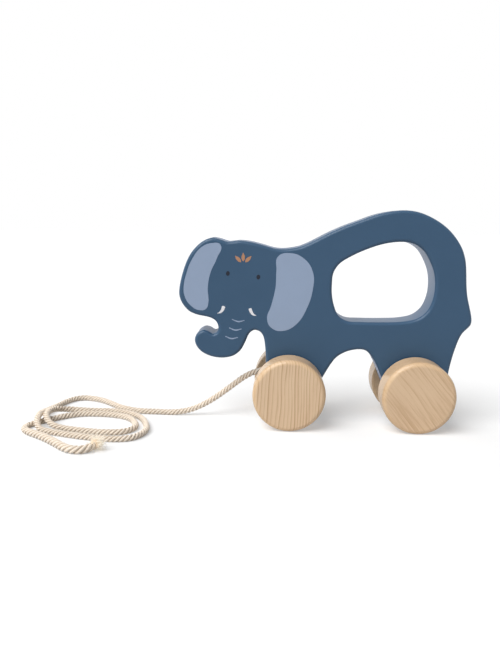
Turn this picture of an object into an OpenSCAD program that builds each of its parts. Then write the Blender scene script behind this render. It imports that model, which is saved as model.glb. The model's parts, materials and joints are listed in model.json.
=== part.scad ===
// Pull-along elephant: a painted board on four wooden wheels, with a cotton rope.
// +X runs towards the tail, +Y away from the side seen first, +Z up. The floor is z = 0.

/* [Board] */
// Length of the board, from the ear to the tip of the tail
body_len = 187; // [178:0.5:200]
// Height of the top of the back above the floor
body_h = 138; // [132:0.5:146]
// Thickness of the board
body_t = 22.5; // [18:0.5:28]
// Rounding of the board's edges
edge_r = 2.2; // [0.8:0.1:2.5]
// Height of the top of the ear above the floor
head_top = 119.8; // [115:0.1:126]
// Height of the tip of the tail above the floor
tail_z = 68.5; // [64:0.5:74]

/* [Handle] */
// Length of the handle hole
hole_len = 64.7; // [60:0.1:70]
// Height of the handle hole
hole_h = 51; // [44:0.5:56]
// Wood between the handle hole and the tail end
hole_wall = 24.5; // [21:0.5:30]
// Wood over the handle hole, the part that is gripped
grip_h = 19.5; // [16:0.5:25]
// Wood between the handle hole and the belly arch
belly_h = 18; // [14:0.5:22]

/* [Wheels] */
// Diameter of the wheels
wheel_d = 46; // [42:0.5:52]
// Width of a wheel
wheel_w = 19; // [15:0.5:24]
// Rounding of a wheel's outer edge
wheel_round = 3; // [1.5:0.5:5]
// Rounding of a wheel's inner edge
wheel_inner_round = 1.5; // [0.5:0.5:3]
// Distance between the two axles
wheelbase = 80.7; // [76:0.1:88]
// Distance from the ear to the front axle
front_overhang = 71.5; // [68:0.5:76]

/* [Axles] */
// Diameter of the axles
axle_d = 8; // [6:0.5:10]
// Depth of the blind bore in a wheel
socket_depth = 13; // [9:0.5:14]
// Radial clearance of an axle in the board
axle_play = 0.08; // [0.03:0.01:0.1]
// Radial gap for the glue between a wheel and its axle
glue_gap = 0.03; // [0.01:0.01:0.05]
// Space for glue behind the end of an axle
glue_well = 0.5; // [0.2:0.1:0.9]
// Thickness of a washer
washer_t = 1.3; // [0.8:0.1:2]
// Outside diameter of a washer
washer_d = 17; // [14:0.5:20]
// Radial clearance of a washer on its axle
washer_play = 0.15; // [0.1:0.05:0.3]
// Side play between the board and a washer
side_play = 0.25; // [0.15:0.05:0.4]

/* [Rope] */
// Diameter of the rope
rope_d = 3.6; // [3:0.1:3.8]
// Depth of the rope's hole in the front leg
rope_hole_depth = 16; // [10:0.5:18]
// Height of the rope's hole above the front axle
rope_hole_rise = 9; // [8:0.5:10]
// Radial gap for the glue round the rope's end
rope_glue = 0.1; // [0.05:0.05:0.2]
// How high a strand is lifted where it passes over another
loop_lift = 4.5; // [4.4:0.1:5]

/* [Hidden] */
$fn = 96;

// A cut runs this far past the face that it opens
cut_over = 1;
// Steps of each quarter round
round_steps = 4;
// Steps of the outline between two of its knots
outline_steps = 2;
hole_steps = 3;

front_x = -body_len / 2;
tail_x = body_len / 2;
axle_z = wheel_d / 2;
front_axle_x = front_x + front_overhang;
rear_axle_x = front_axle_x + wheelbase;
hole_rear = tail_x - hole_wall;
hole_front = hole_rear - hole_len;
hole_top = body_h - grip_h;
hole_floor = hole_top - hole_h;
arch_top = hole_floor - belly_h;
// The top of the belly arch, behind the middle between the axles
arch_back = 5;
arch_x = (front_axle_x + rear_axle_x) / 2 + arch_back;
// The top of the back, ahead of the rear end of the handle hole
hump_ahead = 22;
hump_x = hole_rear - hump_ahead;

// Face of the board to the inner face of a wheel, and the length of an axle
wheel_inner_y = body_t / 2 + side_play + washer_t;
axle_len = 2 * (wheel_inner_y + socket_depth - glue_well);

// Front edge of the front leg, measured from the axle
leg_front = -15.2;
leg_front_x = front_axle_x + leg_front;
rope_z = axle_z + rope_hole_rise;

function shift(at, knots) = [for (k = knots) at + k];
function unit(v) = v / norm(v);

// Outline of the board in X and Z, knots clockwise as the side seen first shows it.
// Each group is measured from the place that carries it.
head_knots = shift([front_x, head_top], [
    [0, -33.8], [2.3, -22.5], [6.5, -11.8], [11, -5.8], [16, -1.8], [21, 0],
    [26.7, -1], [31.3, -2.3], [38.3, -1.6], [46.2, -2.4], [54, -4.3], [61, -6.2],
    [66, -6.6], [71.5, -6.1], [77.5, -4.8]]);
back_knots = shift([hump_x, body_h], [
    [-56.3, -20.1], [-46, -14.7], [-35.4, -9.9], [-25.8, -6.3], [-16.3, -2.8], [-7.2, -0.7]]);
rump_knots = shift([hump_x, body_h], [
    [0, 0], [7.5, -0.6], [14.4, -2.7], [22.7, -7], [28.7, -11.6], [33.8, -17.2], [37.8, -23.6]]);
tail_knots = shift([tail_x, tail_z], [
    [-6.3, 38.7], [-5.3, 31.2], [-4.7, 23.7], [-3.6, 16.1], [-1.6, 8.6], [-0.1, 2],
    [-0.4, -1.7], [-2.3, -4.2], [-4.9, -6.9], [-6.9, -10.5], [-8.5, -15.2], [-10.5, -22.7]]);
rear_leg_knots = shift([rear_axle_x, axle_z], [
    [22.8, 15.2], [21, 4], [17.5, -6], [10.5, -13], [1, -15.5], [-8.5, -13], [-14.5, -6.5],
    [-18.6, 3], [-23.6, 15], [-27.5, 21.8]]);
belly_knots = shift([arch_x, arch_top], [[4.2, -0.9], [0, 0], [-7.4, -1.3]]);
front_leg_knots = shift([front_axle_x, axle_z], [
    [31.6, 21.8], [28.2, 18], [22.8, 8.8], [18.6, 0.5], [14.5, -7.5], [8, -13.3], [0, -15.5],
    [-8, -13.3], [-13.2, -7.5], [leg_front, 0], [leg_front, 6], [leg_front, 14], [leg_front, 20]]);
trunk_knots = shift([front_x, head_top], [
    [55.6, -67.8], [54.6, -63], [52.3, -59.8], [48.6, -58.8], [45.5, -61], [43.6, -65],
    [40.3, -71.6], [36, -75.5], [30, -77.3], [22.6, -77], [15.3, -74.2], [11.1, -69.8],
    [10, -65.3], [11.7, -61.4], [15.5, -59.3], [18.9, -60], [21.9, -61.6], [24.5, -60.3],
    [25.3, -56.8], [23.5, -53], [19, -50.7], [12.5, -49.5], [6.7, -47.2], [2.5, -42.8],
    [0.4, -38.3]]);
over_knots = concat(rump_knots, tail_knots, rear_leg_knots, belly_knots);
under_knots = concat(front_leg_knots, trunk_knots, head_knots, back_knots);
board_knots = concat(over_knots, under_knots);

// Outline of the handle hole, the same way round, from the top of the hole
hole_over_knots = concat(
    shift([hole_rear, hole_top],
          [[-hump_ahead, 0], [-14.5, -1.2], [-8.5, -5.2], [-4, -12], [-1, -19.5]]),
    shift([hole_rear, hole_floor], [[0, 23.5], [-0.8, 15.5], [-3.8, 8], [-9.5, 3], [-18, 0.8]]),
    shift([hole_front, hole_floor], [[34.7, 0.1], [19.1, 0]]));
hole_under_knots = concat(
    shift([hole_front, hole_floor], [[10.7, 0.5], [4.7, 4], [1.5, 11], [0.2, 17.5]]),
    shift([hole_front, hole_top], [[0, -27.5], [0.7, -20], [4.3, -14.2], [11.5, -9.4], [21.6, -4.7],
                                   [32.1, -1.3]]));
hole_knots = concat(hole_over_knots, hole_under_knots);

// A curve through four knots, from the second to the third, with its speed set by their spacing
function pace(a, b) = sqrt(norm(b - a));
function blend(a, b, ta, tb, t) = ((tb - t) * a + (t - ta) * b) / (tb - ta);
function through(p, s) =
    let (t1 = pace(p[0], p[1]), t2 = t1 + pace(p[1], p[2]), t3 = t2 + pace(p[2], p[3]))
    let (t = t1 + s * (t2 - t1))
    let (a = blend(p[0], p[1], 0, t1, t), b = blend(p[1], p[2], t1, t2, t))
    let (c = blend(p[2], p[3], t2, t3, t))
    blend(blend(a, b, 0, t2, t), blend(b, c, t1, t3, t), t1, t2, t);
function closed_curve(k, steps) = let (n = len(k)) [
    for (i = [0 : n - 1], s = [0 : steps - 1])
        through([k[(i + n - 1) % n], k[i], k[(i + 1) % n], k[(i + 2) % n]], s / steps)];
function open_curve(k, steps) =
    let (n = len(k))
    let (q = concat([2 * k[0] - k[1]], k, [2 * k[n - 1] - k[n - 2]]))
    concat([for (i = [0 : n - 2], s = [0 : steps - 1])
                through([q[i], q[i + 1], q[i + 2], q[i + 3]], s / steps)],
           [k[n - 1]]);

// A closed curve moved sideways, to the right of its own direction
function moved_in(c, by) = let (n = len(c)) [
    for (i = [0 : n - 1])
        let (d = unit(c[(i + 1) % n] - c[(i + n - 1) % n]))
        c[i] + by * [d[1], -d[0]]];

board_curve = closed_curve(board_knots, outline_steps);
hole_curve = closed_curve(hole_knots, hole_steps);

// The rounded edge, from the first face to the second: how far in, and the place across the board
edge_profile = concat(
    [for (i = [0 : round_steps]) let (a = 90 * i / round_steps)
        [edge_r * (1 - sin(a)), -body_t / 2 + edge_r * (1 - cos(a))]],
    [for (i = [0 : round_steps]) let (a = 90 * i / round_steps)
        [edge_r * (1 - cos(a)), body_t / 2 - edge_r * (1 - sin(a))]]);

function rings(c, side) = [
    for (e = edge_profile, p = moved_in(c, side * e[0])) [p[0], e[1], p[1]]];
function walls(n, from, turned) = [
    for (r = [0 : len(edge_profile) - 2], i = [0 : n - 1])
        let (j = (i + 1) % n, a = from + r * n + i, b = from + r * n + j, c = b + n, d = a + n)
        each turned ? [[a, c, b], [a, d, c]] : [[a, b, c], [a, c, d]]];
function span(from, to) = [for (i = [from : to]) i];
function back_span(from, to) = [for (i = [from : -1 : to]) i];

// A flat outline cut into triangles, one ear at a time
function right_turn(a, b, c) = (c[0] - a[0]) * (b[1] - a[1]) - (c[1] - a[1]) * (b[0] - a[0]);
function holds(p, a, b, c) =
    right_turn(a, b, p) >= 0 && right_turn(b, c, p) >= 0 && right_turn(c, a, p) >= 0;
function around(f, i) = let (n = len(f)) [f[(i + n - 1) % n], f[i], f[(i + 1) % n]];
function is_ear(pts, t, f) = right_turn(pts[t[0]], pts[t[1]], pts[t[2]]) > 0 &&
    len([for (k = f) if (k != t[0] && k != t[1] && k != t[2] &&
                         holds(pts[k], pts[t[0]], pts[t[1]], pts[t[2]])) k]) == 0;
function find_ear(pts, f, i) =
    i == len(f) - 1 || is_ear(pts, around(f, i), f) ? i : find_ear(pts, f, i + 1);
function ears(pts, f) = len(f) == 3 ? [f] :
    let (i = find_ear(pts, f, 0))
    concat([around(f, i)], ears(pts, [for (k = [0 : len(f) - 1]) if (k != i) f[k]]));

// The board before it is drilled. A face is two outlines that meet above and below the hole.
module board_blank() {
    n = len(board_curve);
    m = len(hole_curve);
    last = len(edge_profile) - 1;
    seam = (len(over_knots) - 2) * outline_steps;
    hole_seam = (len(hole_over_knots) - 1) * hole_steps;
    face_points = concat(moved_in(board_curve, edge_r), moved_in(hole_curve, -edge_r));
    over = concat(span(0, seam), back_span(n + hole_seam, n));
    under = concat(span(seam, n - 1), [0, n], back_span(n + m - 1, n + hole_seam));
    face = concat(ears(face_points, over), ears(face_points, under));
    hole_at = n * (last + 1);
    function on_ring(i, ring) = i < n ? n * ring + i : hole_at + m * ring + i - n;
    near = [for (t = face) [for (i = t) on_ring(i, 0)]];
    far = [for (t = face) [for (i = [t[2], t[1], t[0]]) on_ring(i, last)]];
    polyhedron(
        concat(rings(board_curve, 1), rings(hole_curve, -1)),
        concat(walls(n, 0, true), walls(m, hole_at, false), near, far));
}

// A cylinder along Y, centred on the board
module across(d, length) {
    rotate([90, 0, 0]) cylinder(d = d, h = length, center = true);
}

module body() {
    color("#4b6079") difference() {
        board_blank();
        for (x = [front_axle_x, rear_axle_x])
            translate([x, 0, axle_z]) across(axle_d + 2 * axle_play, body_t + 2 * cut_over);
        translate([leg_front_x - cut_over, 0, rope_z])
            rotate([0, 90, 0]) cylinder(d = rope_d + 2 * rope_glue, h = rope_hole_depth + cut_over);
    }
}

module axle(x) {
    color("#c9a878") translate([x, 0, axle_z]) across(axle_d, axle_len);
}

// Half section of a wheel, from its inner face at 0 to its outer face
wheel_round_steps = 6;
function corner(cx, cy, r, from) = [
    for (i = [0 : wheel_round_steps])
        let (a = from + 90 * i / wheel_round_steps)
        [cx + r * cos(a), cy + r * sin(a)]];
wheel_section = concat(
    [[0, 0]],
    corner(wheel_d / 2 - wheel_inner_round, wheel_inner_round, wheel_inner_round, -90),
    corner(wheel_d / 2 - wheel_round, wheel_w - wheel_round, wheel_round, 0),
    [[0, wheel_w]]);

// side is -1 on the side seen first and 1 on the far side
module wheel(x, side) {
    color("#d9bb95") translate([x, side * wheel_inner_y, axle_z]) rotate([-90 * side, 0, 0])
        difference() {
            rotate_extrude() polygon(wheel_section);
            translate([0, 0, -cut_over])
                cylinder(d = axle_d + 2 * glue_gap, h = socket_depth + cut_over);
        }
}

module washer(x, side) {
    color("#b98f5f") translate([x, side * (wheel_inner_y - washer_t / 2), axle_z]) difference() {
        across(washer_d, washer_t);
        across(axle_d + 2 * washer_play, washer_t + 2 * cut_over);
    }
}

// The rope's own centre height where it lies on the floor
rope_r = rope_d / 2;
rope_sides = 8;
loop_sides = 6;
// Steps of the rope between two of its points, which makes 24 in each loop
rope_steps = 2;

// The rope's points are measured from the floor below its hole.
// From the leg down to the floor: how far ahead of the leg, and the share of the height left
rope_foot = [leg_front_x, 0, rope_r];
drop_knots = [[0, 1], [-4, 1], [-8.8, 0.95], [-14.8, 0.84], [-20.8, 0.69], [-27.8, 0.51],
              [-35.8, 0.32], [-43.8, 0.165], [-52.8, 0.05], [-62.8, 0]];
// Along the floor, back and round to the left, and over the tail
floor_knots = [[-74, 0.5, 0], [-84, 1, 0], [-93, 4, 0], [-101.5, 9.5, 0], [-109.5, 17.5, 0],
               [-117.5, 24.5, 0], [-126, 29, 0], [-133.5, 30, 0], [-139, 26.5, 0], [-142.5, 19.5, 0],
               [-145, 10.5, 0], [-146.6, 0, 0.6], [-147, -11, 2], [-146, -22, 3.9], [-144.4, -30.5, 4.1],
               [-142.3, -37.5, 2.2], [-139, -42.3, 0.5]];
// One round of the loops, measured from their middle, and how much each turn draws it in
loop_ring = [[-13, -24.6], [11, -33.6], [30.5, -38], [43.2, -36], [50, -23.5], [47.5, -5],
             [40, 11], [24.5, 22.5], [0, 25], [-16, 22.8], [-23.2, 9.5], [-22.3, -10.5]];
loop_middle = [-121, -20.2, 0];
loop_shorter = 0.16;
loop_narrower = 0.31;
loop_knots = 20;
// Where the loops are lifted over the tail, counted in their points
lift_at = 10.45;
lift_spread = 2.3;
// From the loops, under them to the left, and forward to the cut end
end_knots = [[-128.5, -11.3, 0], [-135, -16.8, 0], [-140.8, -23, 0], [-146.2, -29, 0],
             [-149.5, -35.8, 0], [-148.6, -42.6, 0], [-143.2, -48.3, 0], [-136.5, -53, 0],
             [-129, -59, 0], [-121.5, -66, 0], [-115, -72.4, 0], [-109.6, -76.2, 0],
             [-103.8, -77, 0], [-99.2, -74.8, 0.4], [-96.4, -70.8, 1.2]];

function hump(u) = abs(u) < 1 ? (1 + cos(180 * u)) / 2 : 0;
function loop_knot(i) =
    let (turns = i / len(loop_ring), k = loop_ring[i % len(loop_ring)])
    loop_middle + [k[0] * (1 - loop_shorter * turns), k[1] * (1 - loop_narrower * turns),
                   loop_lift * hump((i - lift_at) / lift_spread)];

lead_route = concat([for (k = drop_knots) [k[0], 0, k[1] * (rope_z - rope_r)]], floor_knots);
loop_route = [for (i = [0 : loop_knots]) loop_knot(i)];
rope_route = shift(rope_foot, concat(lead_route, loop_route, end_knots));
rope_line = open_curve(rope_route, rope_steps);
loops_from = len(lead_route) * rope_steps;
tail_from = loops_from + loop_knots * rope_steps;

// The way the rope runs at each of its points. It leaves the leg straight ahead.
rope_last = len(rope_line) - 1;
rope_ways = [for (i = [0 : rope_last])
    i == 0 ? [-1, 0, 0] : unit(rope_line[min(i + 1, rope_last)] - rope_line[i - 1])];
function ring_at(p, way, sides) =
    let (across = unit(cross(way, [0, 0, 1])), up = cross(across, way))
    [for (k = [0 : sides - 1])
        let (a = 360 * (k + 0.5) / sides)
        p + rope_r * (across * cos(a) + up * sin(a))];
// The rope as a tube from one of its points to another
module tube(from, to, sides) {
    n = to - from + 1;
    polyhedron(
        [for (i = [from : to], p = ring_at(rope_line[i], rope_ways[i], sides)) p],
        concat(
            [for (i = [0 : n - 2], k = [0 : sides - 1])
                let (j = (k + 1) % sides, a = i * sides + k, b = i * sides + j)
                each [[a, b, b + sides], [a, b + sides, a + sides]]],
            [back_span(sides - 1, 0), span((n - 1) * sides, n * sides - 1)]));
}

rope_colour = "#e3d2bb";

module rope_root() {
    color(rope_colour) translate([leg_front_x, 0, rope_z])
        rotate([0, 90, 0]) cylinder(d = rope_d, h = rope_hole_depth);
}

module pull_rope() {
    color(rope_colour) tube(0, loops_from, rope_sides);
}

module rope_coil() {
    color(rope_colour) tube(loops_from, tail_from, loop_sides);
}

module rope_tail() {
    color(rope_colour) tube(tail_from, rope_last, rope_sides);
}

// Least gap of the rope to itself, measured between points at least four diameters apart along it
gap_steps = 5;
gap_line = open_curve(rope_route, gap_steps);
gap_apart = 4 * rope_d;
function step_after(c, i) = i + 1 < len(c) ? norm(c[i + 1] - c[i]) : 0;
gap_run = [for (i = 0, s = 0; i < len(gap_line); s = s + step_after(gap_line, i), i = i + 1) s];
rope_gap = min([for (i = [0 : len(gap_line) - 1], j = [i + 1 : len(gap_line) - 1])
    if (gap_run[j] - gap_run[i] > gap_apart) norm(gap_line[j] - gap_line[i])]) - rope_d;
rope_len = gap_run[len(gap_run) - 1] + rope_hole_depth;
echo(rope_least_gap = rope_gap, rope_length = rope_len);

body();
axle(front_axle_x);  // front_axle
axle(rear_axle_x);  // rear_axle
wheel(front_axle_x, -1);  // front_left_wheel
wheel(front_axle_x, 1);  // front_right_wheel
wheel(rear_axle_x, -1);  // rear_left_wheel
wheel(rear_axle_x, 1);  // rear_right_wheel
washer(front_axle_x, -1);  // front_left_washer
washer(front_axle_x, 1);  // front_right_washer
washer(rear_axle_x, -1);  // rear_left_washer
washer(rear_axle_x, 1);  // rear_right_washer
rope_root();
pull_rope();
rope_coil();
rope_tail();
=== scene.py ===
# %% [markdown]
# A pull-along elephant
#
# A flat board is cut out as an elephant, painted blue and printed with a simple face.
# Four wooden wheels carry it, and a cotton rope leads it along.
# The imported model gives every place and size, in metres, with the floor at z = 0.
# This lesson dresses that model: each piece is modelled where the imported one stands.

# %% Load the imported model
import json
import math
import random

import bmesh
import bpy
from mathutils import Matrix, Vector


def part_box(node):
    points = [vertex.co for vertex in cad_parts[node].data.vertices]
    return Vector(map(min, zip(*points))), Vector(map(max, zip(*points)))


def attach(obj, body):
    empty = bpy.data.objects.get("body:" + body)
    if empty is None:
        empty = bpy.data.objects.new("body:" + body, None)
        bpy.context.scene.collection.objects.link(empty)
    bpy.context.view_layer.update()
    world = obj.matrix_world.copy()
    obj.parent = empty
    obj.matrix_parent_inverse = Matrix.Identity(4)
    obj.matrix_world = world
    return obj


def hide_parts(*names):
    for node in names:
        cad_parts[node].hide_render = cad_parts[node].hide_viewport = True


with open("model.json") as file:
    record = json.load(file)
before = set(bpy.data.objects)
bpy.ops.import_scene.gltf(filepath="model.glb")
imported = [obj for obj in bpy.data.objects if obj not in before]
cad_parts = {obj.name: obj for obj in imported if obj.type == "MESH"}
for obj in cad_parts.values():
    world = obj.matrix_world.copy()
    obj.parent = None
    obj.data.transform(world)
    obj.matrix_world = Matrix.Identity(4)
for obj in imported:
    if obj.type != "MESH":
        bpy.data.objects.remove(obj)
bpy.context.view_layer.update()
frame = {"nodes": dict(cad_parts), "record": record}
scene = bpy.context.scene
MM = 0.001
print("pieces in the packed model:", ", ".join(frame["nodes"]))

# %% [markdown]
# The camera
#
# The photograph was taken from a little above the toy, almost square to its side.
# A camera could be aimed at a target, but three plain turns say more clearly where it looks:
# up from the floor, a little to one side, and a slight roll.

# %% Camera
CAMERA_PLACE = Vector((-31.9, -417.6, 131.1)) * MM
CAMERA_SIDE = math.radians(2.2)
CAMERA_DOWN = math.radians(10.14)
CAMERA_ROLL = math.radians(0.59)
CAMERA_LENS = 34.46
CAMERA_NEAR = 0.01

camera = bpy.data.objects.new("camera", bpy.data.cameras.new("camera"))
camera.data.lens = CAMERA_LENS
camera.data.clip_start = CAMERA_NEAR
camera.matrix_world = (
    Matrix.Translation(CAMERA_PLACE)
    @ Matrix.Rotation(CAMERA_SIDE, 4, "Z")
    @ Matrix.Rotation(math.pi / 2 - CAMERA_DOWN, 4, "X")
    @ Matrix.Rotation(CAMERA_ROLL, 4, "Z")
)
scene.collection.objects.link(camera)
scene.camera = camera
print("camera at", tuple(round(x, 3) for x in CAMERA_PLACE))

# %% [markdown]
# The rope's route
#
# A cotton rope is glued into the front leg, falls to the floor and lies there in two loose loops.
# Its route is a list of points chosen one by one, and the loops are one round that each turn draws in.
# One smooth curve through the points gives the line that the strands follow later.

# %% Rope sizes
ROPE_D = 3.6
ROPE_R = ROPE_D / 2
ROPE_HOLE_DEPTH = 16
ROPE_LAY = 10.8
root_low, root_high = (Vector(corner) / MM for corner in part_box("rope_root"))
leg_front = root_low.x
rope_height = (root_low.z + root_high.z) / 2
rope_foot = Vector((leg_front, 0, ROPE_R))
print("the rope leaves the leg at x", round(leg_front, 1), "and z", round(rope_height, 1), "mm")

# %% Points of the route, in millimetres from the foot of the leg
# On the way down, each point has its place along X and its share of the full height.
DROP = (
    (0, 1), (-4, 1), (-8.8, 0.95), (-14.8, 0.84), (-20.8, 0.69), (-27.8, 0.51),
    (-35.8, 0.32), (-43.8, 0.165), (-52.8, 0.05), (-62.8, 0),
)
ALONG_FLOOR = (
    (-74, 0.5, 0), (-84, 1, 0), (-93, 4, 0), (-101.5, 9.5, 0), (-109.5, 17.5, 0),
    (-117.5, 24.5, 0), (-126, 29, 0), (-133.5, 30, 0), (-139, 26.5, 0), (-142.5, 19.5, 0),
    (-145, 10.5, 0), (-146.6, 0, 0.6), (-147, -11, 2), (-146, -22, 3.9), (-144.4, -30.5, 4.1),
    (-142.3, -37.5, 2.2), (-139, -42.3, 0.5),
)
LOOP_RING = (
    (-13, -24.6), (11, -33.6), (30.5, -38), (43.2, -36), (50, -23.5), (47.5, -5),
    (40, 11), (24.5, 22.5), (0, 25), (-16, 22.8), (-23.2, 9.5), (-22.3, -10.5),
)
TO_THE_END = (
    (-128.5, -11.3, 0), (-135, -16.8, 0), (-140.8, -23, 0), (-146.2, -29, 0),
    (-149.5, -35.8, 0), (-148.6, -42.6, 0), (-143.2, -48.3, 0), (-136.5, -53, 0),
    (-129, -59, 0), (-121.5, -66, 0), (-115, -72.4, 0), (-109.6, -76.2, 0),
    (-103.8, -77, 0), (-99.2, -74.8, 0.4), (-96.4, -70.8, 1.2),
)
LOOP_MIDDLE = Vector((-121, -20.2, 0))
LOOP_SHORTER, LOOP_NARROWER = 0.16, 0.31
LOOP_KNOTS = 20
LIFT, LIFT_AT, LIFT_SPREAD = 4.5, 10.45, 2.3


def hump(u):
    """A long low hump from -1 to 1, where one turn of the rope passes over another."""
    return (1 + math.cos(math.pi * u)) / 2 if abs(u) < 1 else 0


def loop_knot(i):
    """A point of the loops, which wind inwards as the count grows."""
    turns, (x, y) = i / len(LOOP_RING), LOOP_RING[i % len(LOOP_RING)]
    return LOOP_MIDDLE + Vector((
        x * (1 - LOOP_SHORTER * turns),
        y * (1 - LOOP_NARROWER * turns),
        LIFT * hump((i - LIFT_AT) / LIFT_SPREAD),
    ))


drop_height = rope_height - ROPE_R
route = [Vector((x, 0, share * drop_height)) for x, share in DROP]
route += [Vector(place) for place in ALONG_FLOOR]
route += [loop_knot(i) for i in range(LOOP_KNOTS + 1)]
route += [Vector(place) for place in TO_THE_END]
print("route of", len(route), "points,", round(LOOP_KNOTS / len(LOOP_RING), 2), "turns of them in loops")


# %% One smooth line through the points
def between(a, b, c, d, s):
    """A point from b to c on a curve through all four, paced by the square root of their spacing."""
    t1 = (b - a).length ** 0.5
    t2 = t1 + (c - b).length ** 0.5
    t3 = t2 + (d - c).length ** 0.5
    t = t1 + s * (t2 - t1)

    def mix(p, q, from_t, to_t):
        return ((to_t - t) * p + (t - from_t) * q) / (to_t - from_t)

    ab, bc, cd = mix(a, b, 0, t1), mix(b, c, t1, t2), mix(c, d, t2, t3)
    return mix(mix(ab, bc, 0, t2), mix(bc, cd, t1, t3), t1, t2)


def smooth_line(knots, steps):
    """An open curve through the knots."""
    ends = [2 * knots[0] - knots[1], *knots, 2 * knots[-1] - knots[-2]]
    line = [
        between(*ends[i:i + 4], s / steps)
        for i in range(len(knots) - 1)
        for s in range(steps)
    ]
    return [*line, knots[-1]]


def even_line(line, step):
    """The same line with its points a fixed step apart."""
    spaced, left = [line[0]], step
    for a, b in zip(line, line[1:]):
        run, done = (b - a).length, 0
        while run - done >= left:
            done += left
            spaced.append(a.lerp(b, done / run))
            left = step
        left -= run - done
    return [*spaced, line[-1]]


def line_length(line):
    """The length along a line of points."""
    return sum((b - a).length for a, b in zip(line, line[1:]))


LINE_STEPS = 10
rope_root = Vector((leg_front + ROPE_HOLE_DEPTH, 0, rope_height))
rope_line = [rope_root, *smooth_line([rope_foot + place for place in route], LINE_STEPS)]
ROPE_STEP = 0.65
rope_line = even_line(rope_line, ROPE_STEP)
rope_length = line_length(rope_line)
print("rope", round(rope_length, 1), "mm long in", len(rope_line), "points")


# %% [markdown]
# The rope's strands
#
# The real rope is laid from soft strands that turn round each other, four by the look of it.
# Separate tubes would cut into each other, so one curve carries a section with four lobes.
# Turning the section a little at each point, with the curve's tilt, lays the strands.

# %% Helpers that turn a curve into a mesh and a mesh into a piece
def curve_mesh(curve):
    """The mesh that a curve draws. The curve's own object isn't kept."""
    holder = bpy.data.objects.new(curve.name, curve)
    scene.collection.objects.link(holder)
    drawn = holder.evaluated_get(bpy.context.evaluated_depsgraph_get())
    mesh = bpy.data.meshes.new_from_object(drawn)
    bpy.data.objects.remove(holder)
    return mesh


def add_piece(name, mesh, body):
    """A piece at the origin that rides on a body."""
    mesh.name = name
    piece = bpy.data.objects.new(name, mesh)
    scene.collection.objects.link(piece)
    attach(piece, body)
    return piece


def poly_spline(curve, points, closed=False):
    """A spline of straight steps through the points."""
    spline = curve.splines.new("POLY")
    spline.points.add(len(points) - 1)
    spline.use_cyclic_u = closed
    for knot, place in zip(spline.points, points):
        knot.co = (*place, 1)
    return spline


# %% Section of the rope
STRANDS = 4
SOFT_R = 2
STRAND_R = 0.94
STRAND_OUT = SOFT_R - STRAND_R
SECTION_POINTS = 48


def strand_edge(angle):
    """How far the section reaches at an angle: the outline of its round strands."""
    pitch = 2 * math.pi / STRANDS
    off = (angle + pitch / 2) % pitch - pitch / 2
    return STRAND_OUT * math.cos(off) + math.sqrt(STRAND_R ** 2 - (STRAND_OUT * math.sin(off)) ** 2)


section = bpy.data.curves.new("rope_section", "CURVE")
section.dimensions = "2D"
turns = [2 * math.pi * k / SECTION_POINTS for k in range(SECTION_POINTS)]
poly_spline(
    section,
    [Vector((math.cos(a), math.sin(a), 0)) * strand_edge(a) * MM for a in turns],
    closed=True,
)
section_holder = bpy.data.objects.new("rope_section", section)
print("deepest groove", round(SOFT_R - strand_edge(math.pi / STRANDS), 2), "mm")

# %% Laid rope, which opens a little towards its free end
LOOSE_PART = 76
LOOSE_OVER = 32
LOOSENED = 0.25


def looseness(left):
    """How much wider the rope is with this much of it left to its end, in millimetres."""
    share = min(max((LOOSE_PART - left) / LOOSE_OVER, 0), 1)
    return 1 + LOOSENED * share * share * (3 - 2 * share)


rope_widths = [looseness(rope_length - k * ROPE_STEP) for k in range(len(rope_line))]
rope_path = [
    (place + Vector((0, 0, (width - 1) * SOFT_R))) * MM
    for place, width in zip(rope_line, rope_widths)
]
rope_curve = bpy.data.curves.new("rope_curve", "CURVE")
rope_curve.dimensions = "3D"
rope_curve.bevel_mode = "OBJECT"
rope_curve.bevel_object = section_holder
rope_curve.use_fill_caps = True
rope_spline = poly_spline(rope_curve, rope_path)
# A curve's tilt may reach 60 turns either way, so half of the rope's turns come before zero.
lay_turn = math.pi * rope_length / ROPE_LAY
for knot, width in zip(rope_spline.points, rope_widths):
    knot.radius = width
    knot.tilt = lay_turn
    lay_turn -= 2 * math.pi * ROPE_STEP / (ROPE_LAY * width)
rope_mesh = curve_mesh(rope_curve)
bpy.data.objects.remove(section_holder)
rope_mesh.shade_smooth()
rope = add_piece("pull_rope_laid", rope_mesh, "board")
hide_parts("rope_root", "pull_rope", "rope_coil", "rope_tail")
print("rope of", len(rope_mesh.polygons), "faces")

# %% [markdown]
# The cut end
#
# Nothing binds the rope's far end, so its strands have opened into a soft white ball.
# A hair system would do, but thin tapering tubes are real geometry and easy to place.
# Each starts inside the rope, leaves it at the cut and then goes its own way, mostly to one side.
# Short stray hairs stand off the rest of the rope in the same manner.

# %% Frayed end
FIBRES = 260
FIBRE_R = 0.13
FIBRE_STEPS = 7
FIBRE_START = 2.4
FIBRE_REACH = (3, 7.5)
TUFT_ROOT_R = 2
AHEAD = 0.3
FLOP = Vector((0.3, -0.25, 0.2))
SPREAD = 0.6
TAPER = 0.5
LAST_POINTS = 6
SEED = 11
draw = random.Random(SEED)
end_place = rope_path[-1] / MM
end_way = (rope_path[-1] - rope_path[-LAST_POINTS]).normalized()
end_side = end_way.orthogonal().normalized()
end_up = end_way.cross(end_side)


def any_way():
    """A vector of about unit length that points anywhere."""
    return Vector([draw.gauss(0, SPREAD) for _ in range(3)])


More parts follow.
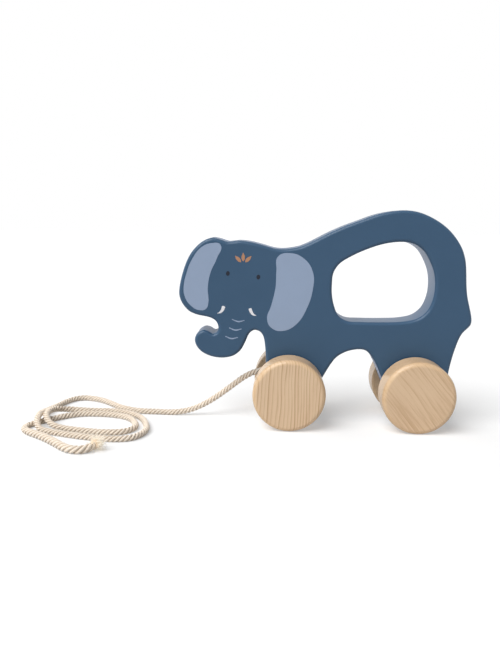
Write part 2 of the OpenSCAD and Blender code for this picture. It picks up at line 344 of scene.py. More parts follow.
def fibre_points():
    """The points of one fibre, from inside the rope to its own free tip."""
    a = draw.uniform(0, 2 * math.pi)
    out = end_side * math.cos(a) + end_up * math.sin(a)
    out = out * TUFT_ROOT_R * math.sqrt(draw.random())
    leave = end_place + out
    start = leave - end_way * FIBRE_START
    tip_way = (end_way * AHEAD + FLOP + any_way()).normalized()
    tip = leave + tip_way * draw.uniform(*FIBRE_REACH)
    curl = any_way()
    places = []
    for j in range(FIBRE_STEPS + 1):
        t = j / FIBRE_STEPS
        place = start * (1 - t) ** 2 + leave * 2 * t * (1 - t) + tip * t * t
        place += curl * math.sin(2 * math.pi * t) * t
        place.z = max(place.z, FIBRE_R)
        places.append(place * MM)
    return places


def fibre_mesh(name, radius, fibres):
    """Thin tubes along lists of points, which taper to their tips."""
    curve = bpy.data.curves.new(name, "CURVE")
    curve.dimensions = "3D"
    curve.bevel_depth = radius * MM
    curve.bevel_resolution = 1
    curve.use_fill_caps = True
    for places in fibres:
        spline = poly_spline(curve, places)
        for j, knot in enumerate(spline.points):
            knot.radius = 1 - TAPER * j / (len(places) - 1)
    mesh = curve_mesh(curve)
    mesh.shade_smooth()
    return mesh


fray_mesh = fibre_mesh("rope_fray", FIBRE_R, [fibre_points() for _ in range(FIBRES)])
fray = add_piece("rope_fray", fray_mesh, "board")
print("tuft of", FIBRES, "fibres")

# %% Stray hairs along the rope
HAIRS = 1300
HAIR_R = 0.028
HAIR_STEPS = 3
HAIR_SUNK = 0.4
HAIR_RISE = (0.5, 1.2)
HAIR_SWEEP = 1.8
# The points of the rope before this one lie in the leg or close to it.
FIRST_HAIR = 40


def hair_points():
    """The points of one hair that lifts off the rope and bends along it."""
    k = draw.randrange(FIRST_HAIR, len(rope_path) - 1)
    along = (rope_path[k + 1] - rope_path[k - 1]).normalized()
    side = along.orthogonal().normalized()
    a = draw.uniform(0, 2 * math.pi)
    out = side * math.cos(a) + along.cross(side) * math.sin(a)
    foot = rope_path[k] / MM + out * (SOFT_R - HAIR_SUNK) * rope_widths[k]
    rise = out * draw.uniform(*HAIR_RISE)
    sweep = along * draw.uniform(-HAIR_SWEEP, HAIR_SWEEP)
    places = []
    for j in range(HAIR_STEPS + 1):
        t = j / HAIR_STEPS
        place = foot + rise * t + sweep * t * t
        place.z = max(place.z, HAIR_R)
        places.append(place * MM)
    return places


fuzz_mesh = fibre_mesh("rope_fuzz", HAIR_R, [hair_points() for _ in range(HAIRS)])
fuzz = add_piece("rope_fuzz", fuzz_mesh, "board")
print("fuzz of", HAIRS, "hairs")

# %% [markdown]
# Shader sums
#
# Every finish here is worked out by shader nodes from the object's own coordinates.
# Wiring Math nodes by hand is slow to read, so a small class lets Python's own signs add them.
# One method makes any other node from its type, its settings and what goes into its sockets.


# %% Nodes written as Python
class Wire:
    """An output of a node that Python's signs can work on."""

    def __init__(self, nodes, socket):
        self.nodes = nodes
        self.socket = socket

    def math(self, operation, *others):
        return self.nodes.math(operation, self, *others)

    def __add__(self, other):
        return self.math("ADD", other)

    def __sub__(self, other):
        return self.math("SUBTRACT", other)

    def __rsub__(self, other):
        return self.nodes.math("SUBTRACT", other, self)

    def __mul__(self, other):
        return self.math("MULTIPLY", other)

    def __truediv__(self, other):
        return self.math("DIVIDE", other)

    def __abs__(self):
        return self.math("ABSOLUTE")

    __radd__ = __add__


class Nodes:
    """The node tree of a material or a world."""

    def __init__(self, owner):
        owner.use_nodes = True
        self.tree = owner.node_tree

    def find(self, sockets, key):
        """The socket with this number, or the one in use with this name."""
        if isinstance(key, int):
            return sockets[key]
        return next(s for s in sockets if s.enabled and s.name == key)

    def plug(self, socket, value):
        """Links a wire to a socket, or sets the socket to a plain value."""
        if isinstance(value, Wire):
            self.tree.links.new(value.socket, socket)
        else:
            socket.default_value = value

    def node(self, kind, settings=None, sockets=None, output=None):
        """Makes a node and hands back the named output, or else its first."""
        made = self.tree.nodes.new(kind)
        for name, value in (settings or {}).items():
            if name == "stops":
                self.set_stops(made.color_ramp, value)
            else:
                setattr(made, name, value)
        for key, value in (sockets or {}).items():
            self.plug(self.find(made.inputs, key), value)
        first = next(s for s in made.outputs if s.enabled)
        return Wire(self, self.find(made.outputs, output) if output else first)

    def math(self, operation, *values):
        """Makes a Math node."""
        return self.node("ShaderNodeMath", {"operation": operation}, dict(enumerate(values)))

    def set_stops(self, ramp, stops):
        """Gives a ramp its stops, each with a place and a grey shade."""
        while len(ramp.elements) < len(stops):
            ramp.elements.new(1)
        for element, (place, shade) in zip(ramp.elements, stops):
            element.position = place
            element.color = (shade, shade, shade, 1)


# %% Small helpers for finishes
def colour(red, green, blue):
    """A colour given as a screen shows it, from 0 to 255, in the linear values that shaders use."""
    def linear(c):
        c = c / 255
        return c / 12.92 if c <= 0.04045 else ((c + 0.055) / 1.055) ** 2.4
    return (linear(red), linear(green), linear(blue), 1)


def new_finish(name, **constants):
    """A material, its nodes and its shader, whose unchanging sockets are set here."""
    material = bpy.data.materials.new(name)
    nodes = Nodes(material)
    shader = nodes.tree.nodes["Principled BSDF"]
    for socket, value in constants.items():
        shader.inputs[socket.replace("_", " ")].default_value = value
    return material, nodes, shader


def noise(nodes, at, scale, detail=2, roughness=0.5):
    """A cloudy value from 0 to 1."""
    sockets = {"Vector": at, "Scale": scale, "Detail": detail, "Roughness": roughness}
    return nodes.node("ShaderNodeTexNoise", {}, sockets)


def blend(nodes, share, first, second):
    """One colour turned into another as the share goes from 0 to 1."""
    settings = {"data_type": "RGBA", "clamp_factor": True}
    return nodes.node("ShaderNodeMix", settings, {"Factor": share, "A": first, "B": second})


def in_millimetres(nodes, centre=(0, 0, 0), turn=(0, 0, 0)):
    """Object coordinates in millimetres, centred and turned for one piece."""
    here = nodes.node("ShaderNodeTexCoord", output="Object")
    sockets = {"Vector": here, "Location": centre, "Rotation": turn, "Scale": (MM, MM, MM)}
    return nodes.node("ShaderNodeMapping", {"vector_type": "TEXTURE"}, sockets)


def stretched(nodes, at, by):
    """Coordinates pulled longer or shorter along each axis."""
    settings = {"operation": "MULTIPLY"}
    return nodes.node("ShaderNodeVectorMath", settings, {0: at, 1: by})


def parts_of(nodes, at):
    """The three numbers of a vector."""
    split = nodes.node("ShaderNodeSeparateXYZ", {}, {"Vector": at})
    return [Wire(nodes, s) for s in split.socket.node.outputs]


def length_of(nodes, at):
    """How long a vector is."""
    settings = {"operation": "LENGTH"}
    return nodes.node("ShaderNodeVectorMath", settings, {0: at}, output="Value")


def bump(nodes, height, depth):
    """A surface raised by height, where a height of 1 stands depth metres proud."""
    return nodes.node("ShaderNodeBump", {}, {"Height": height, "Distance": depth})


print("shader helpers ready")

# %% [markdown]
# Cotton
#
# Raw cotton is a warm cream, never quite even, and the grooves get a painted shade of straw.
# The pattern has to follow the strands round every loop, so it reads the UV map
# that the curve left on the mesh: U runs along the rope and V round the section.
# In the tuft light wanders from fibre to fibre, and a faint glow stands in for that.


# %% Cotton finish
YARNS = 18
COTTON_LIGHT = colour(250, 239, 224)
COTTON_DARK = colour(231, 212, 190)
# Painted shade for the grooves between the strands.
COTTON_GROOVE_SHADE = colour(188, 164, 136)
TUFT_LIGHT = colour(255, 251, 240)
TUFT_DARK = colour(252, 236, 212)
TUFT_HEART = colour(244, 198, 124)
TUFT_GLOW = 0.12
HEART_R = 3.6
COTTON_NAP = 0.04 * MM


def cotton(name, light, dark, cut_end=None):
    """Cream cotton. Its yarns follow the UV map, or it is straw-coloured round a cut end."""
    material, nodes, shader = new_finish(name, Roughness=0.92, Sheen_Weight=0.35)
    shader.inputs["Sheen Roughness"].default_value = 0.6
    shader.inputs["Specular IOR Level"].default_value = 0.15
    place = in_millimetres(nodes)
    cloud = noise(nodes, place, 0.35, 3)
    fluff = noise(nodes, place, 3.2, 3, 0.7)
    tint = blend(nodes, cloud * 0.5 + fluff * 0.5 - 0.15, light, dark)
    height = fluff
    if cut_end:
        settings = {"operation": "DISTANCE"}
        away = nodes.node("ShaderNodeVectorMath", settings, {0: place, 1: cut_end}, output="Value")
        tint = blend(nodes, (1 - away / HEART_R).math("MAXIMUM", 0), tint, TUFT_HEART)
        shader.inputs["Emission Strength"].default_value = TUFT_GLOW
        nodes.plug(shader.inputs["Emission Color"], tint)
    else:
        along, round_it, _ = parts_of(nodes, nodes.node("ShaderNodeTexCoord", output="UV"))
        yarn_turns = rope_length / ROPE_LAY
        yarns = ((round_it - along * yarn_turns) * (2 * math.pi * YARNS)).math("SINE")
        strand = (round_it * (2 * math.pi * STRANDS)).math("COSINE")
        height = yarns * 0.4 + fluff * 1.4
        # Painted shade: the grooves between the strands are darkened towards straw.
        groove = (cloud * 0.3 - 0.05 - strand * 0.55).math("MAXIMUM", 0)
        tint = blend(nodes, groove, tint, COTTON_GROOVE_SHADE)
    nodes.plug(shader.inputs["Base Color"], tint)
    nodes.plug(shader.inputs["Normal"], bump(nodes, height, COTTON_NAP))
    return material


laid_cotton = cotton("laid_cotton", COTTON_LIGHT, COTTON_DARK)
for piece in (rope, fuzz):
    piece.data.materials.append(laid_cotton)
fray.data.materials.append(cotton("frayed_cotton", TUFT_LIGHT, TUFT_DARK, end_place))
print("cotton on", rope.name, fuzz.name, "and", fray.name)

# %% [markdown]
# The board
#
# The elephant is sawn from one thick board, and a router rounds its edges.
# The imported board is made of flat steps, which would show as a broken outline in a close view.
# So a slice through it gives the outline, a smooth flat curve follows that,
# and the curve's own thickness and rounding make the board again.

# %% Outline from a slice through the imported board
SLICE_Y = -5 * MM
STEP_ANGLE = math.radians(0.3)
UPRIGHT = 0.01
SLICE_WELD = 0.001 * MM
SLICE_NEAR = 0.0001 * MM


def slice_loops(node):
    """The closed outlines where a plane across the thickness cuts a node, longest first."""
    cut = bmesh.new()
    cut.from_mesh(node.data)
    bmesh.ops.remove_doubles(cut, verts=cut.verts, dist=SLICE_WELD)
    upright = [e for e in cut.edges if all(abs(f.normal.y) < UPRIGHT for f in e.link_faces)]
    bmesh.ops.dissolve_limit(cut, angle_limit=STEP_ANGLE, edges=upright)
    bmesh.ops.bisect_plane(
        cut, geom=[*cut.verts, *cut.edges, *cut.faces], dist=SLICE_NEAR,
        plane_co=(0, SLICE_Y, 0), plane_no=(0, 1, 0), clear_inner=True, clear_outer=True,
    )
    loops, left = [], dict.fromkeys(cut.verts)
    while left:
        vert = next(iter(left))
        loop = []
        while vert:
            del left[vert]
            loop.append(vert)
            neighbours = [e.other_vert(vert) for e in vert.link_edges]
            vert = next((v for v in neighbours if v in left), None)
        loops.append([Vector((v.co.x, v.co.z, 0)) for v in loop])
    cut.free()
    return sorted(loops, key=line_length, reverse=True)


body_node = frame["nodes"]["body"]
body_low, body_high = (Vector(corner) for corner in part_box("body"))
board_t = body_high.y - body_low.y
board_loops = slice_loops(body_node)
print("outlines of", [len(loop) for loop in board_loops], "points")


# %% A flat plate with rounded edges
def plate(name, outlines, thickness, rounding, rounding_steps, curve_steps):
    """A plate in the upright plane, halfway through its own thickness at y = 0."""
    curve = bpy.data.curves.new(name, "CURVE")
    curve.dimensions = "2D"
    curve.fill_mode = "BOTH"
    curve.resolution_u = curve_steps
    curve.extrude = thickness / 2 - rounding
    curve.bevel_depth = rounding
    curve.bevel_resolution = rounding_steps
    curve.offset = -rounding
    for outline in outlines:
        spline = curve.splines.new("BEZIER")
        spline.bezier_points.add(len(outline) - 1)
        spline.use_cyclic_u = True
        for knot, place in zip(spline.bezier_points, outline):
            knot.co = place
            knot.handle_left_type = knot.handle_right_type = "AUTO"
    mesh = curve_mesh(curve)
    mesh.transform(Matrix.Rotation(math.pi / 2, 4, "X"))
    return mesh


BOARD_ROUNDING = 2.2 * MM
BOARD_ROUND_STEPS = 7
BOARD_CURVE_STEPS = 3
board_mesh = plate(
    "board", board_loops, board_t, BOARD_ROUNDING, BOARD_ROUND_STEPS, BOARD_CURVE_STEPS,
)
print("board of", len(board_mesh.polygons), "faces")


# %% Drill the rope's hole and smooth the board
ROPE_GLUE = 0.1
COUNTERSINK = 0.5
DRILL_OVER = 1
DRILL_STEPS = 40
ROUND_STEPS = 8
LATHE_WELD = 0.0005 * MM
WELD = 0.002 * MM
FLAT_NEAR = 0.001 * MM
SHARP_ANGLE = math.radians(40)


def turned(profile, axis_place, axis, steps, closed=False):
    """A mesh turned on a lathe. The profile has each corner's place and rounding, in metres."""
    lathe = bmesh.new()
    verts = [lathe.verts.new(place) for place, _ in profile]
    ends = [*verts[1:], verts[0]] if closed else verts[1:]
    for pair in zip(verts, ends):
        lathe.edges.new(pair)
    for vert, (_, rounding) in zip(verts, profile):
        if rounding:
            bmesh.ops.bevel(
                lathe, geom=[vert], offset=rounding, offset_type="OFFSET", affect="VERTICES",
                segments=ROUND_STEPS, profile=0.5, material=-1,
            )
    bmesh.ops.spin(
        lathe, geom=[*lathe.verts, *lathe.edges], cent=axis_place, axis=axis,
        angle=2 * math.pi, steps=steps, use_merge=True, use_duplicate=False, dvec=(0, 0, 0),
    )
    bmesh.ops.remove_doubles(lathe, verts=lathe.verts, dist=LATHE_WELD)
    bmesh.ops.recalc_face_normals(lathe, faces=lathe.faces)
    mesh = bpy.data.meshes.new("turned")
    lathe.to_mesh(mesh)
    lathe.free()
    return mesh


drill_r = ROPE_R + ROPE_GLUE
drill_profile = [
    (leg_front - DRILL_OVER, 0, 0),
    (leg_front - DRILL_OVER, 0, drill_r + COUNTERSINK + DRILL_OVER),
    (leg_front + COUNTERSINK, 0, drill_r),
    (leg_front + ROPE_HOLE_DEPTH, 0, drill_r),
    (leg_front + ROPE_HOLE_DEPTH, 0, 0),
]
hole_axis = Vector((0, 0, rope_height))
drill_corners = [((Vector(p) + hole_axis) * MM, 0) for p in drill_profile]
drill = turned(drill_corners, hole_axis * MM, (1, 0, 0), DRILL_STEPS)


def drilled(mesh, tool):
    """The mesh with the tool's shape cut out of it."""
    holders = [bpy.data.objects.new("drilling", m) for m in (mesh, tool)]
    for holder in holders:
        scene.collection.objects.link(holder)
    cut = holders[0].modifiers.new("drill", "BOOLEAN")
    cut.object = holders[1]
    cut.solver = "EXACT"
    made = holders[0].evaluated_get(bpy.context.evaluated_depsgraph_get())
    result = bpy.data.meshes.new_from_object(made)
    for holder in holders:
        bpy.data.objects.remove(holder)
    return result


def merged(mesh):
    """The mesh with its parts joined at their shared points and its faces outwards."""
    joined = bmesh.new()
    joined.from_mesh(mesh)
    bmesh.ops.remove_doubles(joined, verts=joined.verts, dist=WELD)
    bmesh.ops.recalc_face_normals(joined, faces=joined.faces)
    joined.to_mesh(mesh)
    joined.free()
    return mesh


def smooth_with_flat_faces(mesh, half_thickness):
    """Smooth shading in which the two flat faces stay flat up to their very edge."""
    mesh.shade_smooth()
    mesh.set_sharp_from_angle(angle=SHARP_ANGLE)
    normals = [Vector(n.vector) for n in mesh.corner_normals]
    for loop in mesh.loops:
        y = mesh.vertices[loop.vertex_index].co.y
        if abs(abs(y) - half_thickness) < FLAT_NEAR:
            normals[loop.index] = Vector((0, math.copysign(1, y), 0))
    mesh.normals_split_custom_set(normals)


board_mesh = drilled(merged(board_mesh), drill)
smooth_with_flat_faces(board_mesh, board_t / 2)
board = add_piece("elephant_board", board_mesh, "board")
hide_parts("body")
print("drilled board of", len(board_mesh.polygons), "faces")

# %% [markdown]
# Blue paint
#
# The board is sprayed with a satin, dusty blue paint that hides the wood.
# A single colour would look like plastic, so the paint gets a faint mottle, a fine spray texture
# and a lighter tone on the rounded edges, where it runs thinner and a painted highlight is added.
# A little sheen gives it a pale bloom where it is seen at a slant.


# %% Paint finish
PAINT = colour(52, 82, 110)
# Paler paint for the mottle, and for the rounded edges, where it is partly a painted highlight.
PALE_PAINT = colour(72, 100, 128)
BLOOM = (0.6, 0.72, 1, 1)
LIT_EDGE_AT, LIT_EDGE_SPREAD = 0.5, 0.7
SPRAY_BUMP = 0.012 * MM


def satin_paint(name, coat, pale_coat):
    """Sprayed satin paint, lighter on the rounded edges of the board: thinner there, with a painted
    highlight.
    """
    material, nodes, shader = new_finish(
        name, Specular_IOR_Level=0.3, Sheen_Weight=0.6, Sheen_Roughness=0.3, Sheen_Tint=BLOOM,
    )
    place = in_millimetres(nodes)
    mottle = noise(nodes, place, 0.05, 3)
    spray = noise(nodes, place, 2.4, 2)
    # Painted highlight: the rounded edges are lightened, partly as thinner paint, partly for the light
    # they catch.
    across = abs(parts_of(nodes, place)[1])
    half = board_t / 2 / MM
    edge = 1 - abs(across - (half - LIT_EDGE_AT)) / LIT_EDGE_SPREAD
    thin_lit_edge = edge.math("MAXIMUM", 0) * (0.35 + mottle * 0.5)
    even = blend(nodes, mottle * 0.24 + spray * 0.1 - 0.05, coat, pale_coat)
    nodes.plug(shader.inputs["Base Color"], blend(nodes, thin_lit_edge * 0.35, even, pale_coat))
    nodes.plug(shader.inputs["Roughness"], 0.26 + mottle * 0.08 + spray * 0.05)
    nodes.plug(shader.inputs["Normal"], bump(nodes, spray + mottle * 2, SPRAY_BUMP))
    return material


board.data.materials.clear()
board.data.materials.append(satin_paint("blue_paint", PAINT, PALE_PAINT))
print("painted", board.name)

# %% [markdown]
# The printed face
#
# A simple face is printed on the flat of the board: pale ears, dark eyes, white tusks,
# creases across the trunk and a small spray of leaves on the brow.
# A mask in the paint would blur when the model is baked, so each print is a thin film of ink.
# The far side carries the same print, turned over.

# %% Shapes of the print, in millimetres along and up the board
FRONT_EAR = (
    (-66.7, 115.5), (-72.3, 116.5), (-78.8, 113.9), (-84.6, 106.5), (-88.5, 97.1), (-90.3, 88),
    (-89.5, 82.1), (-85.8, 76.6), (-80.4, 73.7), (-76, 74.6), (-74.4, 79), (-74.8, 88),
    (-73, 98), (-69, 107),
)
BACK_EAR = (
    (-30.4, 108.5), (-22.5, 110.8), (-13.6, 107.2), (-8, 98.6), (-8, 87.4), (-11.6, 75.4),
    (-17.6, 65.8), (-25.6, 61.2), (-33.4, 62.6), (-36.6, 68.2), (-34, 77.8), (-31.6, 89), (-31.2, 100),
)


def oval(x, z, length, width, lean):
    """Four points of an oval whose length leans from upright by some degrees."""
    a = math.radians(lean)
    long_way = Vector((math.sin(a), math.cos(a), 0)) * length / 2
    wide_way = Vector((math.cos(a), -math.sin(a), 0)) * width / 2
    middle = Vector((x, z, 0))
    return [middle + long_way, middle + wide_way, middle - long_way, middle - wide_way]


STROKE_STEPS = 4


def stroke(points, widths):
    """The outline of a brush stroke: a smooth line with a width at each of its points."""
    spine = smooth_line([Vector((x, z, w)) for (x, z), w in zip(points, widths)], STROKE_STEPS)
    sides = []
    for before, here, after in zip([spine[0], *spine], spine, [*spine[1:], spine[-1]]):
        way = after - before
        across = Vector((-way.y, way.x, 0)).normalized() * here.z / 2
        middle = Vector((here.x, here.y, 0))
        sides.append((middle + across, middle - across))
    return [left for left, _ in sides] + [right for _, right in reversed(sides)]


EYE_LENGTH, EYE_WIDTH, EYE_LEAN = 3, 2.4, 6
TUSK = ((0, 1.6), (0.7, -0.3), (2, -1.9), (4, -2.8))
TUSK_WIDTHS = (2.1, 1.9, 1.3, 0.12)
CREASE = ((-4, 0.9), (0, -0.5), (4, 0.3))
CREASE_WIDTHS = (0.3, 0.9, 0.3)
LEAF_FOOT = Vector((-52.3, 103.4, 0))
LEAF_LEANS = (-44, 0, 44)
LEAF_REACHES = (1.9, 3.2, 5, 7.4)
LEAF_WIDTHS = (0.2, 1.9, 2.1, 0.12)


def eye(x, z):
    """A small oval that leans a little."""
    return oval(x, z, EYE_LENGTH, EYE_WIDTH, EYE_LEAN)


def tusk(x, z, way):
    """A short horn that curves down and out to one side."""
    return stroke([(x + way * u, z + v) for u, v in TUSK], TUSK_WIDTHS)


def crease(x, z):
    """A thin bowed line across the trunk."""
    return stroke([(x + u, z + v) for u, v in CREASE], CREASE_WIDTHS)


def leaf(lean):
    """One leaf of the spray on the brow."""
    a = math.radians(lean)
    way = Vector((math.sin(a), math.cos(a), 0))
    places = [LEAF_FOOT + way * reach for reach in LEAF_REACHES]
    return stroke([(p.x, p.y) for p in places], LEAF_WIDTHS)


prints = {
    "ear_print": [[Vector((x, z, 0)) for x, z in ear] for ear in (FRONT_EAR, BACK_EAR)],
    "eye_print": [eye(-62, 97.5), eye(-42.6, 95.5)],
    "tusk_print": [tusk(-64.6, 74.6, -1), tusk(-47.6, 73.4, 1)],
    "crease_print": [crease(-55.2, 67.2), crease(-57, 61.6), crease(-59.4, 56)],
    "leaf_print": [leaf(lean) for lean in LEAF_LEANS],
}
print("face of", sum(len(shapes) for shapes in prints.values()), "shapes")


# %% Films of ink on both faces
INK_T = 0.12
INK_SINK = 0.04
INK_ROUNDING = 0.03
INK_CURVE_STEPS = 8
INK_SHADE = 0.86
INK_BUMP = 0.01 * MM


def ink(name, tone):
    """Screen-printed ink: matt, with the faint grain of the screen."""
    material, nodes, shader = new_finish(name, Specular_IOR_Level=0.35)
    place = in_millimetres(nodes)
    grain = noise(nodes, place, 4, 2)
    cloud = noise(nodes, place, 0.12, 2)
    darker = (*(c * INK_SHADE for c in tone[:3]), 1)
    tint = blend(nodes, grain * 0.35 + cloud * 0.5 - 0.15, tone, darker)
    nodes.plug(shader.inputs["Base Color"], tint)
    nodes.plug(shader.inputs["Roughness"], 0.48 + grain * 0.12)
    nodes.plug(shader.inputs["Normal"], bump(nodes, grain, INK_BUMP))
    return material


INK_TONES = {
    "ear_print": colour(150, 167, 193),
    "eye_print": colour(20, 27, 42),
    "tusk_print": colour(236, 236, 240),
    "crease_print": colour(150, 167, 193),
    "leaf_print": colour(182, 134, 104),
}
INK_RISE = board_t / 2 + (INK_T / 2 - INK_SINK) * MM


def printed(name, shapes):
    """One colour of the print on both faces of the board."""
    outlines = [[place * MM for place in shape] for shape in shapes]
    film = plate(name, outlines, INK_T * MM, INK_ROUNDING * MM, 0, INK_CURVE_STEPS)
    both = bmesh.new()
    both.from_mesh(film)
    bmesh.ops.remove_doubles(both, verts=both.verts, dist=WELD)
    near_verts = list(both.verts)
    far = bmesh.ops.duplicate(both, geom=[*both.verts, *both.edges, *both.faces])["geom"]
    far_verts = [v for v in far if isinstance(v, bmesh.types.BMVert)]
    bmesh.ops.translate(both, verts=near_verts, vec=(0, -INK_RISE, 0))
    bmesh.ops.translate(both, verts=far_verts, vec=(0, INK_RISE, 0))
    bmesh.ops.recalc_face_normals(both, faces=both.faces)
    both.to_mesh(film)
    both.free()
    piece = add_piece(name, film, "board")
    piece.data.materials.clear()
    piece.data.materials.append(ink(name + "_ink", INK_TONES[name]))
    return piece


for name, shapes in prints.items():
    piece = printed(name, shapes)
    print(piece.name, "of", len(piece.data.polygons), "faces")

# %% [markdown]
# The wheels
#
# Each wheel is turned from pale beech, with a blind bore for the axle on its inner face.
# A plain cylinder has hard edges, so the half section is drawn with its corners,
# a bevel rounds them, and a spin about the axle turns the section into a wheel.

# %% Turn the wheels
WHEEL_ROUND = 3 * MM
WHEEL_INNER_ROUND = 1.5 * MM
BORE_R = 4.03 * MM
BORE_DEPTH = 13 * MM
BORE_ROUND = 0.4 * MM
WHEEL_STEPS = 128
bodies = frame["record"]["behaviour"]["bodies"]
body_of_node = {node: body for body, nodes in bodies.items() for node in nodes}


def round_box(node):
    """The corners of a node's box, its middle and its radius about the Y axis."""
    low, high = (Vector(corner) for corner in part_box(node))
    return low, high, (low + high) / 2, (high.x - low.x) / 2


def turned_about(hub, corners, steps, closed=False):
    """A mesh turned about Y through the hub. Each corner has its radius, y and rounding."""
    profile = [((hub.x + r, y, hub.z), rounding) for r, y, rounding in corners]
    return turned(profile, (hub.x, 0, hub.z), (0, 1, 0), steps, closed)


def finish_turned(name, mesh, node):
    """A turned piece in a node's place, shaded smooth with its flat faces kept flat."""
    mesh.shade_smooth()
    mesh.set_sharp_from_angle(angle=SHARP_ANGLE)
    piece = add_piece(name, mesh, body_of_node[node])
    piece.modifiers.new("flat_faces", "WEIGHTED_NORMAL").keep_sharp = True
    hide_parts(node)
    return piece


def turn_wheel(node):
    """A wheel about the Y axis, from its bore round to the middle of its outer face."""
    low, high, hub, radius = round_box(node)
    inner, outer = (high.y, low.y) if hub.y < 0 else (low.y, high.y)
    bottom = inner + math.copysign(BORE_DEPTH, outer - inner)
    corners = (
        (0, bottom, 0), (BORE_R, bottom, 0), (BORE_R, inner, BORE_ROUND),
        (radius, inner, WHEEL_INNER_ROUND), (radius, outer, WHEEL_ROUND), (0, outer, 0),
    )
    return turned_about(hub, corners, WHEEL_STEPS), hub


wheels = {}
for end in ("front", "rear"):
    for side in ("left", "right"):
        node = f"{end}_{side}_wheel"
        mesh, hub = turn_wheel(node)
        wheels[node] = finish_turned(f"beech_{node}", mesh, node), hub
        print(node, "turned at", tuple(round(x, 4) for x in hub))

# %% [markdown]
# Beech
#
# Beech is a pale, even wood with soft straight year lines and short dark flecks along the grain.
# A flat picture of wood would wrap badly round the rim, so the pattern fills space:
# year rings far from their pith, some bolder than others, with streaks and fibres along the grain.
# A thin coat of lacquer gives the rounded rims a soft sheen.
# Each wheel is cut from another place in the plank, so its grain lies at another angle.


# %% Beech finish
BEECH_LIGHT = colour(225, 196, 162)
BEECH_MIDDLE = colour(208, 175, 139)
BEECH_LINE = colour(182, 145, 107)
BEECH_FLECK = colour(158, 118, 80)
BEECH_RIM = colour(220, 184, 138)
RIM_R, RIM_BLUR = 20.2, 1.2
RIM_SHARE = 0.35
PITH = Vector((0, 46, 88))
WANDER = 4.5
FLECK_FROM, FLECK_GAIN = 0.66, 9
WOOD_BUMP = 0.03 * MM
# How dark a year's growth is from its start to its end.
YEAR = ((0, 0.1), (0.55, 0.35), (0.86, 1), (0.95, 0.75), (1, 0.1))


def wood(name, centre, grain, shift, contrast, evenness, ring_step, depth=0):
    """Beech with its grain turned in the upright plane, cut from its own place in the plank.

    A depth above 0 makes it darker all over.
    """
    material, nodes, shader = new_finish(
        name, Specular_IOR_Level=0.3, Coat_Weight=0.6, Coat_Roughness=0.18,
    )
    place = in_millimetres(nodes, centre, (0, math.radians(grain), 0))
    moved = nodes.node("ShaderNodeVectorMath", {"operation": "ADD"}, {0: place, 1: shift})
    wander = noise(nodes, stretched(nodes, moved, (0.012, 0.05, 0.05)), 1, 2)
    across = stretched(nodes, place, (0, 1, 1))
    to_pith = nodes.node("ShaderNodeVectorMath", {"operation": "SUBTRACT"}, {0: across, 1: PITH})
    ring = length_of(nodes, to_pith) / ring_step + wander * WANDER
    settings = {"noise_dimensions": "1D"}
    sockets = {"W": ring.math("FLOOR")}
    boldness = nodes.node("ShaderNodeTexWhiteNoise", settings, sockets, output="Value")
    shade = nodes.node("ShaderNodeValToRGB", {"stops": YEAR}, {"Fac": ring.math("FRACT")})
    line = shade * (evenness + boldness * (1 - evenness))
    streak = noise(nodes, stretched(nodes, moved, (0.03, 0.85, 0.85)), 1, 2, 0.6)
    fibre = noise(nodes, stretched(nodes, moved, (0.25, 5, 5)), 1, 3, 0.6)
    cloud = noise(nodes, stretched(nodes, moved, (0.03, 0.12, 0.12)), 1, 2)
    fleck = noise(nodes, stretched(nodes, moved, (0.5, 4, 4)), 1, 1)
    dash = ((fleck - FLECK_FROM) * FLECK_GAIN).math("MAXIMUM", 0)
    level = line * contrast + streak * 0.9 + fibre * 0.4 + cloud * 0.6 - 0.8 + depth
    tint = blend(nodes, level, BEECH_LIGHT, BEECH_MIDDLE)
    tint = blend(nodes, (level - 0.55) * 1.5, tint, BEECH_LINE)
    tint = blend(nodes, dash * 0.25, tint, BEECH_FLECK)
    radius = length_of(nodes, stretched(nodes, place, (1, 0, 1)))
    rim = ((radius - RIM_R) / RIM_BLUR).math("MAXIMUM", 0).math("MINIMUM", 1)
    tint = blend(nodes, rim * RIM_SHARE, tint, BEECH_RIM)
    nodes.plug(shader.inputs["Base Color"], tint)
    nodes.plug(shader.inputs["Roughness"], 0.5 + fibre * 0.16)
    nodes.plug(shader.inputs["Normal"], bump(nodes, fibre - dash * 0.5, WOOD_BUMP))
    return material


# The grain's angle, the place in the plank, contrast, evenness, step from ring to ring, and depth.
GRAINS = {
    "front_left_wheel": (92, (0, 0, 0), 1.05, 0.5, 1.8),
    "rear_left_wheel": (51, (310, 40, 75), 0.28, 0.3, 2.2, 0.36),
    "front_right_wheel": (20, (120, 90, 10), 0.55, 0.4, 2.1),
    "rear_right_wheel": (140, (60, 150, 200), 0.55, 0.3, 2.3),
}
for node, (piece, hub) in wheels.items():
    piece.data.materials.append(wood(f"beech_{node}", hub, *GRAINS[node]))
    print(node, "has its grain at", GRAINS[node][0], "degrees")

# %% [markdown]
# Axles and washers
#
# A dowel runs through the board at each end and is glued into both wheels.
# A thin wooden washer keeps each wheel off the paint.
# Little of them shows, but they are turned like the wheels, with their ends and rims eased.

# %% Turn the axles and washers
AXLE_EASE = 0.6 * MM
WASHER_EASE = 0.25 * MM
WASHER_BORE_R = 4.15 * MM
SMALL_STEPS = 64
AXLE_GRAIN = (0, (30, 70, 20), 0.6, 0.3, 2)
WASHER_GRAIN = (35, (80, 10, 40), 0.8, 0.3, 2)


def turn_axle(node):
    """A dowel along Y with eased ends."""
    low, high, hub, radius = round_box(node)
    corners = (
        (0, low.y, 0), (radius, low.y, AXLE_EASE),
        (radius, high.y, AXLE_EASE), (0, high.y, 0),
    )
    return turned_about(hub, corners, SMALL_STEPS), hub


def turn_washer(node):
    """A flat ring with eased edges."""
    low, high, hub, radius = round_box(node)
    ring = ((WASHER_BORE_R, low.y), (radius, low.y), (radius, high.y), (WASHER_BORE_R, high.y))
    corners = [(r, y, WASHER_EASE) for r, y in ring]
    return turned_about(hub, corners, SMALL_STEPS, closed=True), hub


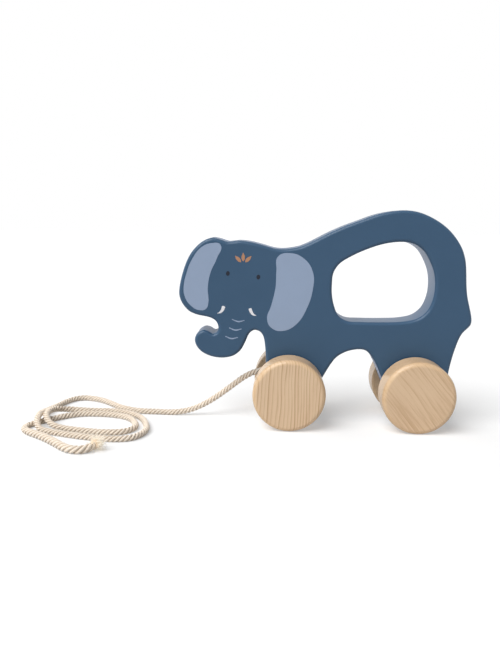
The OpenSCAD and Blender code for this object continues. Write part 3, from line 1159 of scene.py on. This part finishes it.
for end in ("front", "rear"):
    node = f"{end}_axle"
    mesh, hub = turn_axle(node)
    piece = finish_turned(f"dowel_{node}", mesh, node)
    piece.data.materials.append(wood(f"dowel_{end}", hub, *AXLE_GRAIN))
    for side in ("left", "right"):
        node = f"{end}_{side}_washer"
        mesh, hub = turn_washer(node)
        piece = finish_turned(f"turned_{node}", mesh, node)
        piece.data.materials.append(wood(f"wood_{node}", hub, *WASHER_GRAIN))
    print(end, "axle and its washers turned")

# %% [markdown]
# Floor and light
#
# The photograph has a white floor that runs into a white background, and soft shadows.
# A lamp close by would leave the far floor grey, so a sun with a wide disc lights it evenly.
# A weaker one from behind lights the far side and the upper edges, and the sky fills the shadows.
# The camera sees the sky as plain white, and the floor a little lighter than its light makes it.

# %% White floor
def seen_rays(nodes):
    """1 where the camera looks, straight or by way of gloss or glass, and 0 for all other light."""
    rays = [
        nodes.node("ShaderNodeLightPath", output=f"Is {kind} Ray")
        for kind in ("Camera", "Glossy", "Transmission")
    ]
    return rays[0].math("MAXIMUM", rays[1]).math("MAXIMUM", rays[2])


FLOOR_GREY = 0.65
FLOOR_LIFT = 0.36
FLOOR_HALF = 6
FLOOR_DROP = 0.05 * MM
floor_plane = bmesh.new()
bmesh.ops.create_grid(floor_plane, x_segments=1, y_segments=1, size=FLOOR_HALF)
bmesh.ops.translate(floor_plane, verts=floor_plane.verts, vec=(0, 0, -FLOOR_DROP))
floor_mesh = bpy.data.meshes.new("floor")
floor_plane.to_mesh(floor_mesh)
floor_plane.free()
floor = bpy.data.objects.new("floor", floor_mesh)
scene.collection.objects.link(floor)
floor_finish, floor_nodes, floor_shader = new_finish("white_floor", Roughness=1.0)
floor_shader.inputs["Base Color"].default_value = (FLOOR_GREY, FLOOR_GREY, FLOOR_GREY, 1)
floor_shader.inputs["Emission Strength"].default_value = 1
floor_nodes.plug(floor_shader.inputs["Emission Color"], seen_rays(floor_nodes) * FLOOR_LIFT)
floor_shader.inputs["Specular IOR Level"].default_value = 0
floor_mesh.materials.append(floor_finish)
print("floor", 2 * FLOOR_HALF, "m wide")

# %% Suns and sky
SKY_LEVEL = 0.2
# Each sun's strength, the width of its disc in degrees and where it stands.
SUNS = {
    "sun": (3, 50, (-0.45, -0.45, 0.77)),
    "back_sun": (1.1, 70, (-0.7, 0.55, 0.45)),
}

for name, (level, disc, comes_from) in SUNS.items():
    sun = bpy.data.objects.new(name, bpy.data.lights.new(name, "SUN"))
    sun.data.energy = level
    sun.data.angle = math.radians(disc)
    sun.matrix_world = Vector(comes_from).to_track_quat("Z", "Y").to_matrix().to_4x4()
    # Mirrored in the paint, the sun at the back would whiten the floor of the handle hole.
    sun.visible_glossy = name == "sun"
    scene.collection.objects.link(sun)

world = bpy.data.worlds.new("sky")
scene.world = world
sky = Nodes(world)
seen = seen_rays(sky)
background = sky.tree.nodes["Background"]
background.inputs["Color"].default_value = (1, 1, 1, 1)
sky.plug(background.inputs["Strength"], seen * (1 - SKY_LEVEL) + SKY_LEVEL)
scene.view_settings.view_transform = "Standard"
print("suns:", ", ".join(SUNS))
